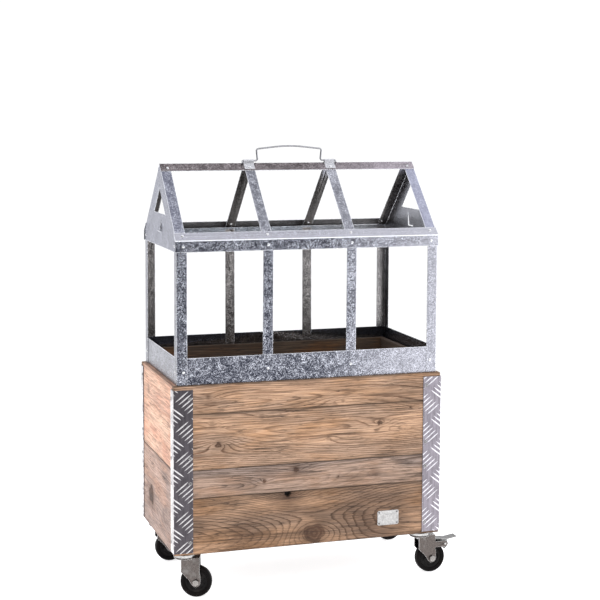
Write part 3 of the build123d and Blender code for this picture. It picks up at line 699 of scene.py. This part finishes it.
def build_lining():
    """Lining boards, three to a side, corner battens and the planked floor."""
    look = dict(step=0.008, ring=0.005, depth=0.02, edge=0.002)
    low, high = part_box("lining_boards")
    thick = sorted({round(vert.co.x, 5) for vert in NODES["lining_boards"].data.vertices})[1] - low.x
    pieces = []
    rows = np.linspace(low.z, high.z, 4)
    for row, (bottom, top) in enumerate(zip(rows, rows[1:])):
        for out, y0, y1 in ((1, low.y, low.y + thick), (-1, high.y - thick, high.y)):
            start, end = (low.x, y0, bottom), (high.x, y1, top)
            pieces.append(Plank(start, end, 0, 1, out, 300 + row + out, **look))
        for out, x0, x1 in ((1, low.x, low.x + thick), (-1, high.x - thick, high.x)):
            start, end = (x0, low.y + thick, bottom), (x1, high.y - thick, top)
            pieces.append(Plank(start, end, 1, 0, out, 320 + row + out, **look))
    # Lining, battens and floor take the dark inner wood, painted shade.
    planks("lining_planks", pieces, "planter", WOODS["inner"], ["lining_boards"])
    pieces = []
    for i, (low, high) in enumerate(islands("corner_battens")):
        out = -1 if low.y + high.y > 0 else 1
        pieces.append(Plank(low, high, 2, 1, out, 340 + i, **look))
    planks("batten_planks", pieces, "planter", WOODS["inner"], ["corner_battens"])
    low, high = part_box("floor_panel")
    pieces = []
    count, gap = 5, 0.0012
    width = (high.y - low.y) / count
    for i in range(count):
        y0 = low.y + i * width + (gap / 2 if i else 0)
        y1 = low.y + (i + 1) * width - (gap / 2 if i < count - 1 else 0)
        start, end = Vector((low.x, y0, low.z)), Vector((high.x, y1, high.z - 0.003))
        pieces.append(Plank(start, end, 0, 2, 1, 360 + i, **look))
    planks("floor_planks", pieces, "planter", WOODS["inner"], ["floor_panel"])


# ------------------------------------------------------------- corner angles
BAR_LENGTH, BAR_WIDTH = 44 * MM, 4.2 * MM
BAR_STEP = (7.0 * MM, 7.0 * MM)          # from one bar of a group to the next
TILE = (77.0 * MM, 71.0 * MM)           # from one group to the next of its family
BAR_SLOPE = math.radians(38)
PLATE, RAISED = 2.0 * MM, 3.0 * MM     # thickness between the bars and over them
FOLD = 3.5 * MM                         # outside radius of the fold
BAR_INSET = 0.4 * MM                    # bars stop this far inside the plate's edges
EASE = 0.6 * MM                         # softened corner of the plate
# Middle of a rising group: from the front leg's free edge, and from the angle's foot.
FIRST_GROUP = {
    "left": (12.8 * MM + TILE[0] / 2, 287 * MM + TILE[1] / 2),
    "right": (11.5 * MM, 319 * MM),
}


def angle_mapping(node, sx, sy):
    """Maps (distance from the front leg's free edge, z, height off the boards) onto the angle."""
    low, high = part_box(node)
    leg_x, leg_y = high.x - low.x, high.y - low.y
    out_x = high.x if sx > 0 else low.x
    out_y = high.y if sy > 0 else low.y

    def place(w, z, h):
        if w <= leg_x - FOLD:
            return (out_x - sx * (leg_x - w), out_y - sy * (RAISED - h), z)
        if w >= leg_x + FOLD:
            return (out_x - sx * (RAISED - h), out_y - sy * (w - leg_x), z)
        turn = (w - leg_x + FOLD) / (2 * FOLD) * math.pi / 2
        radius = FOLD - RAISED + h
        return (
            out_x - sx * FOLD + sx * radius * math.sin(turn),
            out_y - sy * FOLD + sy * radius * math.cos(turn),
            z,
        )

    return place, leg_x, leg_x + leg_y, low.z, high.z


def bar_rings(cw, cz, ux, uz):
    """Cross-sections of one tapering bar with a rounded top, from end to end."""
    rings = []
    for t in np.linspace(-1, 1, 15):
        half = BAR_WIDTH / 2 * max(1 - abs(t) ** 2.4, 0.0)
        top = (RAISED - PLATE) * (1 - abs(t) ** 5)
        crown = [(v, PLATE - 0.0001 + top * (1 - abs(v) ** 2.2)) for v in (-1, -0.6, 0, 0.6, 1)]
        foot = [(v, PLATE - 0.0004) for v in (1, -1)]
        along = t * BAR_LENGTH / 2
        rings.append(
            [(cw + ux * along - uz * v * half, cz + uz * along + ux * v * half, h) for v, h in crown + foot]
        )
    return rings


def add_bars(bm, first, last, low, high, start):
    """Five-bar groups in two slanting families, in flat coordinates, trimmed at the plate's edges."""
    length = BAR_LENGTH / 2
    for family in (1, -1):              # rising and falling groups
        shift = (0, 0) if family > 0 else (TILE[0] / 2, TILE[1] / 2)
        ux, uz = math.cos(BAR_SLOPE), family * math.sin(BAR_SLOPE)
        for i in range(-2, 3):
            for k in range(-6, 4):
                for bar in range(-2, 3):
                    cw = start[0] + shift[0] + i * TILE[0] + family * bar * BAR_STEP[0]
                    cz = start[1] + shift[1] + k * TILE[1] - bar * BAR_STEP[1]
                    if first - length < cw < last + length and low - length < cz < high + length:
                        add_loft(bm, bar_rings(cw, cz, ux, uz))
    bmesh.ops.remove_doubles(bm, verts=bm.verts, dist=1e-6)
    limits = (
        ((first, 0, 0), (-1, 0, 0)),
        ((last, 0, 0), (1, 0, 0)),
        ((0, low, 0), (0, -1, 0)),
        ((0, high, 0), (0, 1, 0)),
    )
    for point, outward in limits:
        everything = bm.verts[:] + bm.edges[:] + bm.faces[:]
        bmesh.ops.bisect_plane(bm, geom=everything, plane_co=point, plane_no=outward, clear_outer=True)
    open_edges = [edge for edge in bm.edges if edge.is_boundary]
    bmesh.ops.holes_fill(bm, edges=open_edges)


def build_angles(finishes):
    """Folded corner angles with their raised bars."""
    for end, sx in (("left", -1), ("right", 1)):
        for side, sy in (("front", -1), ("back", 1)):
            node = f"corner_angle_{side}_{end}"
            place, fold, total, low, high = angle_mapping(node, sx, sy)
            bm = bmesh.new()
            first_w, first_z = FIRST_GROUP[end]
            start = (first_w, low + first_z)
            add_bars(bm, BAR_INSET, total - BAR_INSET, low + BAR_INSET, high - BAR_INSET, start)
            bends = [fold + d * FOLD for d in (-1, -0.75, -0.5, -0.25, 0, 0.25, 0.5, 0.75, 1)]
            across = [0.0, EASE] + bends + [total - EASE, total]
            rings = []
            for z, ease in ((low, 1), (low + EASE, 0), (high - EASE, 0), (high, 1)):
                ring = []
                for j, w in enumerate(across):
                    ends = j in (0, len(across) - 1)
                    ring.append((w, z, PLATE - (EASE if ease or ends else 0)))
                ring += [(w, z, 0.00005) for w in across[::-1]]
                rings.append(ring)
            loops = add_loft(bm, rings, cap=False)
            count = len(across)
            for loop in (loops[0], loops[-1]):
                for j in range(count - 1):
                    bm.faces.new((loop[j], loop[j + 1], loop[2 * count - 2 - j], loop[2 * count - 1 - j]))
            layer = bm.verts.layers.float.new("raised")
            for vert in bm.verts:
                vert[layer] = (vert.co.z - PLATE) / (RAISED - PLATE)
                vert.co = place(*vert.co)
            name = f"tread_angle_{side}_{end}"
            finish_piece(name, bm, "planter", finishes[end], [node], 40)


SCREW_SIDES = 32


def build_screws(material):
    """Countersunk heads with a cross recess, in the angles' screw places."""
    bm = bmesh.new()
    for low, high in islands("corner_angle_screws"):
        size, centre = high - low, (low + high) / 2
        axis = 0 if size.x > size.y else 1
        out = 1 if centre[axis] > (MIDDLE_X, 0)[axis] else -1
        tip = Vector(centre)
        tip[axis] = high[axis] if out > 0 else low[axis]
        normal = Vector((0, 0, 0))
        normal[axis] = out
        radius = size.z / 2
        shank = [(0.0, -0.004), (0.5, -0.004), (0.55, -0.0016), (1, -0.0009), (1, -0.0004), (0.93, -0.0001)]
        steps = [0.78, 0.62, 0.46, 0.30, 0.14, 0.0]
        profile = [(radius * share, height) for share, height in shank + [(s, 0.0) for s in steps]]
        rings = add_lathe(bm, profile, tip, normal, SCREW_SIDES)
        for ring, s in zip(rings[len(shank):], steps):
            for i, vert in enumerate(ring):
                angle = 2 * math.pi * i / SCREW_SIDES
                x, y = abs(s * math.cos(angle)), abs(s * math.sin(angle))
                if min(x, y) < 0.13 and max(x, y) < 0.66:
                    vert.co -= normal * 0.0011
    screws = ["corner_angle_screws"]
    finish_piece("angle_screw_heads", bm, "planter", material, screws, 30)


LABEL_CORNER = 0.0035
LABEL_PANELS = ((0.010, 0.016, 0.007, 0.029), (0.020, 0.045, 0.009, 0.027))


def build_label(material, pin_material):
    """Pressed plate with a raised border and blank raised panels, held by four domed pins."""
    low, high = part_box("label_plate")
    thick = high.y - low.y
    size = (high.x - low.x, high.z - low.z)
    bm = bmesh.new()
    us = np.linspace(0, size[0], 67)
    vs = np.linspace(0, size[1], 45)

    def face(u, v):
        """Height as a share of the thickness, and how far the point is beyond the rounded corner."""
        du, dv = min(u, size[0] - u), min(v, size[1] - v)
        beyond = math.hypot(max(LABEL_CORNER - du, 0), max(LABEL_CORNER - dv, 0))
        corner = max(0.0, beyond - LABEL_CORNER)
        rim = math.exp(-(((min(du, dv) - 0.0015) / 0.0008) ** 2))
        panel = 0.0
        for x0, x1, y0, y1 in LABEL_PANELS:
            inside = min(u - x0, x1 - u, v - y0, y1 - v)
            panel = max(panel, min(max(inside / 0.0012, 0), 1))
        return 0.45 + 0.5 * rim + 0.35 * panel, corner

    grid = []
    for u in us:
        row = []
        for v in vs:
            level, corner = face(u, v)
            pull = min(corner * 1.4, 0.002)
            x = low.x + u + (pull if u < size[0] / 2 else -pull)
            z = low.z + v + (pull if v < size[1] / 2 else -pull)
            row.append(bm.verts.new((x, high.y - thick * min(level, 1.0), z)))
        grid.append(row)
    for i in range(len(us) - 1):
        for j in range(len(vs) - 1):
            bm.faces.new((grid[i][j], grid[i + 1][j], grid[i + 1][j + 1], grid[i][j + 1]))
    edges = [edge for edge in bm.edges if edge.is_boundary]
    for item in bmesh.ops.extrude_edge_only(bm, edges=edges)["geom"]:
        if isinstance(item, bmesh.types.BMVert):
            item.co.y = high.y - 0.00002
    bmesh.ops.holes_fill(bm, edges=[edge for edge in bm.edges if edge.is_boundary])
    finish_piece("label_pressing", bm, "planter", material, ["label_plate"], 50)
    bm = bmesh.new()
    for low, high in islands("label_pins"):
        radius = (high.z - low.z) / 2
        centre = Vector(((low.x + high.x) / 2, low.y, (low.z + high.z) / 2))
        head = 0.0008
        shape = [(0, 0), (0.35, 0.00002), (0.7, 0.00018), (0.95, 0.0005), (1, head)]
        shape += [(0.6, head + 0.0001), (0.6, head + 0.003), (0, head + 0.003)]
        profile = [(radius * share, height) for share, height in shape]
        add_lathe(bm, profile, centre, (0, 1, 0), 20)
    finish_piece("label_pin_heads", bm, "planter", pin_material, ["label_pins"], 40)


# ------------------------------------------------------------------- castors
# Half profiles, from the hub outwards: radius and height off the wheel's middle plane, in mm.
TYRE_RADIUS = 37.5
TYRE = [
    (26.02, 8.6), (26.6, 9.6), (27.6, 10.2), (28.4, 10.2), (28.8, 9.7), (29.6, 9.7), (30.0, 10.6),
    (31.0, 11.2), (32.0, 11.4), (32.5, 10.9), (33.0, 10.9), (33.5, 11.4), (34.4, 11.0), (35.6, 10.0),
    (36.5, 8.6), (37.0, 7.2), (37.3, 5.0), (37.46, 2.6), (37.5, 0.5),
]
CORE = [
    (6.1, 13.2), (9.6, 13.2), (10.4, 12.7), (10.9, 11.9), (11.0, 7.0), (12.2, 5.6), (13.4, 5.1),
    (15.0, 5.0), (19.6, 5.0), (20.4, 5.4), (20.9, 6.4), (21.6, 6.9), (22.6, 6.9), (23.1, 6.4),
    (23.5, 7.2), (24.2, 7.5), (25.4, 7.5), (25.98, 7.2),
]
TYRE_SIDES, CORE_SIDES = 96, 90
POCKET_RINGS = (6, 7, 8)                # places in CORE that sink between the spokes
POCKETS, POCKET_DEPTH = 6, 2.2 * MM


def add_wheel_part(bm, half, scale, centre, axis, segments):
    """A closed ring turned from a half profile and its mirror image. Returns its loops."""
    points = [(r * MM * scale, h * MM) for r, h in half]
    rings = add_lathe(bm, points + [(r, -h) for r, h in points[::-1]], centre, axis, segments)
    join_loops(bm, [rings[-1], rings[0]])
    return rings


def build_wheels(tyre_material, core_material):
    """Tyres with side rings and a crowned tread, and cores with rings, pockets and a hub."""
    for name in CASTORS:
        joint = JOINTS[f"{name}_roll"]
        centre, axis = Vector(joint["pos_m"]), Vector(joint["axis"])
        low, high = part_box(f"tyre_{name}")
        scale = (high.z - low.z) / 2 / (TYRE_RADIUS * MM)
        body = f"wheel_{name}"
        bm = bmesh.new()
        add_wheel_part(bm, TYRE, scale, centre, axis, TYRE_SIDES)
        finish_piece(f"tyre_moulding_{name}", bm, body, tyre_material, [f"tyre_{name}"], 40)

        bm = bmesh.new()
        rings = add_wheel_part(bm, CORE, 1, centre, axis, CORE_SIDES)
        for index in POCKET_RINGS:
            for ring, outward in ((rings[index], 1), (rings[-1 - index], -1)):
                for i, vert in enumerate(ring):
                    wave = max(0.0, math.cos(2 * math.pi * i / CORE_SIDES * POCKETS)) ** 0.4
                    vert.co -= axis * outward * POCKET_DEPTH * wave
        core = f"wheel_core_{name}"
        finish_piece(f"core_moulding_{name}", bm, body, core_material, [core], 40)


PEDAL_SLOPE = 4.5 / 28.0                # fall of the pedal's tread from its tip
RIB = (1.1 * MM, 0.4 * MM)              # half width and height of a rib


def build_pedal_grips(material):
    """Ribs across the pedals' treads."""
    for name in BRAKED:
        low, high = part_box(f"brake_pedal_{name}")
        middle = low.y / 2 + high.y / 2
        bm = bmesh.new()
        for i in range(5):
            x = high.x - 0.0045 - i * 0.0042
            z = high.z - (high.x - x) * PEDAL_SLOPE - 0.00045
            rings = []
            for y, size in ((-0.0095, 0.2), (-0.0088, 1.0), (0.0088, 1.0), (0.0095, 0.2)):
                ring = []
                for angle in range(0, 181, 30):
                    turn = math.radians(angle)
                    dx, dz = RIB[0] * size * math.cos(turn), RIB[1] * size * math.sin(turn)
                    ring.append((x + dx, middle + y, z + dz))
                rings.append(ring)
            add_loft(bm, rings)
        finish_piece(f"pedal_grips_{name}", bm, f"brake_{name}", material, (), 60)


# ---------------------------------------------------------------- greenhouse
SHEET = 1.0 * MM
RIVET_HEAD = 1.4 * MM                   # head's height
RIVET_ENDS = 2.4 * MM                   # head and tail together


def build_rivets(material):
    """Blind rivets: a domed head with its mandrel hole, and a rolled tail inside."""
    bm = bmesh.new()
    for low, high in islands("greenhouse_rivets"):
        size, centre = high - low, (low + high) / 2
        side = 1 if centre.y > 0 else -1
        if abs(size.y - size.z) < 0.0002 and size.y > 0.0072:
            normal = Vector((0, side, 1)).normalized()
            length = (size.y + size.z) / math.sqrt(2) - 0.007
        else:
            axis = 0 if size.x < size.y else 1
            normal = Vector((0, 0, 0))
            normal[axis] = side if axis else (1 if centre.x > MIDDLE_X else -1)
            length = size[axis]
        grip = round((length - RIVET_ENDS) / SHEET) * SHEET
        seat = centre + normal * ((grip + RIVET_ENDS) / 2 - RIVET_HEAD)
        profile = [
            (0.0, 0.00035), (0.0008, 0.0004), (0.00105, 0.0007), (0.0012, 0.00125), (0.0018, 0.0014),
            (0.0026, 0.00118), (0.0032, 0.0007), (0.0035, 0.0), (0.0019, 0.0), (0.0019, -grip),
            (0.0026, -grip - 0.0001), (0.0027, -grip - 0.0004), (0.0022, -grip - 0.0008),
            (0.0011, -grip - 0.001), (0.0, -grip - 0.00085),
        ]
        add_lathe(bm, profile, seat, normal, 24)
    rivets = ["greenhouse_rivets"]
    finish_piece("blind_rivets", bm, "greenhouse", material, rivets, 45)


# --------------------------------------------------------------------- studio
def soft_light(name, place, target, width, height, power):
    data = bpy.data.lights.new(name, "AREA")
    data.shape = "RECTANGLE"
    data.size, data.size_y, data.energy = width, height, power
    obj = bpy.data.objects.new(name, data)
    bpy.context.scene.collection.objects.link(obj)
    obj.location = place
    obj.visible_glossy = False
    obj.rotation_euler = (Vector(target) - obj.location).to_track_quat("-Z", "Y").to_euler()


def build_camera():
    """The photograph's viewpoint. A slight tilt down keeps the vertical shift small."""
    right = Vector((0.95062, -0.310322, 0.004687))
    up = Vector((0.022609, 0.084303, 0.996184))
    data = bpy.data.cameras.new("camera")
    data.sensor_width = 36.0
    data.lens = 87.336
    data.shift_y = -0.11309
    data.clip_start, data.clip_end = 0.05, 60
    camera = bpy.data.objects.new("camera", data)
    bpy.context.scene.collection.objects.link(camera)
    turn = Matrix((right, up, right.cross(up))).transposed()
    camera.matrix_world = Matrix.Translation((-1.11908, -3.42139, 1.16123)) @ turn.to_4x4()
    bpy.context.scene.camera = camera


def build_studio():
    """Pale floor, white background, soft boxes, and a room that metals see graded by direction."""
    mesh = bpy.data.meshes.new("floor")
    bm = bmesh.new()
    bmesh.ops.create_circle(bm, cap_ends=True, radius=2.4, segments=96)
    bm.to_mesh(mesh)
    bm.free()
    floor = bpy.data.objects.new("floor", mesh)
    bpy.context.scene.collection.objects.link(floor)
    mesh.materials.append(pale_floor())
    scene = bpy.context.scene
    scene.view_settings.view_transform = "Standard"
    scene.world = bpy.data.worlds.new("studio")
    room = Nodes(scene.world)
    background, output = room.tree.nodes["Background"], room.tree.nodes["World Output"]
    background.inputs["Color"].default_value = (1, 1, 1, 1)
    background.inputs["Strength"].default_value = 1.05
    x, y, z = room.node("SeparateXYZ", {0: room.node("TexCoord").outputs["Generated"]}).outputs
    level = room.remap(x, 0.20, 0.43, 0.08, 2.10)
    level = room.remap(y, 0.35, 0.75, level, 1.30)
    level = room.remap(z, 0.22, 0.50, level, 1.70)
    level = room.remap(z, 0.72, 0.92, level, 1.35)
    around = room.node("Background", {"Strength": level, "Color": (0.96, 0.97, 1.0, 1)})
    seen = room.node("LightPath").outputs["Is Camera Ray"]
    join = room.node("MixShader", {0: seen, 1: around.outputs[0], 2: background.outputs[0]})
    room.put(output.inputs[0], join.outputs[0])
    centre = (0, 0, 0.55)
    soft_light("left_softbox", (-3.4, -0.6, 1.2), centre, 2.6, 3.0, 45)
    soft_light("top_softbox", (0.2, -0.9, 3.4), centre, 2.8, 2.2, 18)
    soft_light("right_softbox", (2.5, -3.4, 0.6), centre, 2.0, 3.0, 20)
    soft_light("front_softbox", (-1.2, -4.2, 1.4), centre, 2.4, 2.4, 18)


# --------------------------------------------------------------------- build
def fold_height(node):
    """Top of a front sheet's upright face, where it folds back."""
    corners = [vert.co for vert in NODES[node].data.vertices]
    front = min(corner.y for corner in corners)
    return max(corner.z for corner in corners if corner.y < front + 0.0003)


# PALE and GABLE_PALE are the painted light tones that the outer sheet fades to.
PALE = (0.60, 0.60, 0.66)
# Inner tones, dark and light: painted shade on the inside faces.
INNER_SHADE = ((0.060, 0.055, 0.053), (0.52, 0.49, 0.48))
INNER_BLUE_SHADE = ((0.17, 0.185, 0.21), (0.50, 0.53, 0.58))
GABLE_PALE = (0.48, 0.49, 0.62)
SPANGLE = ((0.028, 0.031, 0.045), (0.122, 0.126, 0.156), (0.68, 0.70, 0.76))
# Painted shade: the ridge cap takes a darker copy of the spangle and pale tones.
RIDGE_SHADED_SPANGLE = ((0.040, 0.033, 0.033), (0.125, 0.106, 0.108), (0.40, 0.36, 0.37))
RIDGE_SHADED_PALE = (0.50, 0.45, 0.50)
GALVANISED = galvanised("galvanised", SPANGLE, PALE, INNER_SHADE)
EAVE = galvanised("galvanised_eave", SPANGLE, PALE, INNER_BLUE_SHADE)
EAVE_FOLD = fold_height("eave_strip_front")
# The front eave gets a painted highlight along its fold.
FRONT_EAVE = galvanised("galvanised_front_eave", SPANGLE, PALE, INNER_SHADE, 0.8, EAVE_FOLD)
GABLE = galvanised("galvanised_gable", SPANGLE, GABLE_PALE, INNER_SHADE, 0.3)
RAFTER = galvanised("galvanised_rafter", SPANGLE, PALE, INNER_SHADE, 0.25)
RIDGE = galvanised("galvanised_ridge", RIDGE_SHADED_SPANGLE, RIDGE_SHADED_PALE, INNER_SHADE, 0.08)
ZINC = zinc("zinc_plate", (0.52, 0.51, 0.50), 0.14)
FORK = zinc("fork_zinc", (0.125, 0.108, 0.100), 0.16, rim=0.0013)
AXLE = zinc("axle_zinc", (0.30, 0.285, 0.27), 0.2)
CLIP = zinc("clip_zinc", (0.62, 0.62, 0.65), 0.2)
# One tread plate in two copies: darker on the left angles as painted shade, paler on the right as painted
# light.
TREAD_SHADED = tread("tread_shaded", (0.060, 0.054, 0.060), (0.66, 0.64, 0.64), 0.95)
TREAD_LIT = tread("tread_lit", (0.18, 0.165, 0.185), (0.82, 0.80, 0.84), 0.38)
SCREW = zinc("screw_steel", (0.20, 0.19, 0.19), 0.35)
LABEL = zinc("label_metal", (0.52, 0.51, 0.50), 0.35, 200)
RIVET = zinc("rivet_aluminium", (0.95, 0.95, 0.97), 0.16)
WIRE = zinc("wire", (0.42, 0.42, 0.44), 0.3, 500)
RUBBER = moulded("tyre_rubber", (0.005, 0.004, 0.004), (0.012, 0.009, 0.007), 0.42)
PLASTIC = moulded("core_plastic", (0.012, 0.011, 0.011), (0.035, 0.031, 0.029), 0.36)
PEDAL = zinc("pedal_plate", (0.21, 0.21, 0.205), 0.30)

build_camera()
build_studio()
build_boards()
build_lining()
build_angles({"left": TREAD_SHADED, "right": TREAD_LIT})
build_screws(SCREW)
build_label(LABEL, SCREW)
build_wheels(RUBBER, PLASTIC)
build_pedal_grips(PEDAL)
build_rivets(RIVET)

# Finish, width of the eased edges in mm, and the CAD nodes that keep their shape.
KEPT = (
    (GALVANISED, 0.3, ("skirt_sheets", "corner_posts", "mid_posts")),
    (RAFTER, 0.3, ("mid_rafters",)),
    (FRONT_EAVE, 0.3, ("eave_strip_front",)),
    (EAVE, 0.3, ("eave_strip_back",)),
    (GABLE, 0.3, ("gable_left", "gable_right")),
    (RIDGE, 0.3, ("ridge_cap",)),
    (CLIP, 0.3, ("handle_clips",)),
    (ZINC, 0.4, ("castor_cups", "castor_washers", "castor_stems")),
    (FORK, 0.6, [f"castor_fork_{name}" for name in CASTORS]),
    (AXLE, 0.5, [f"castor_axle_{name}" for name in CASTORS]),
    (PEDAL, 0.5, [f"brake_pedal_{name}" for name in BRAKED]),
    (ZINC, 0.4, [f"brake_pin_{name}" for name in BRAKED]),
)
for finish, ease, nodes in KEPT:
    for node in nodes:
        keep(node, finish, ease * MM)
keep("carry_handle", WIRE, 0, 50)
keep("castor_inserts", ZINC, 0, 40)
keep("castor_balls", ZINC, 0, 40)
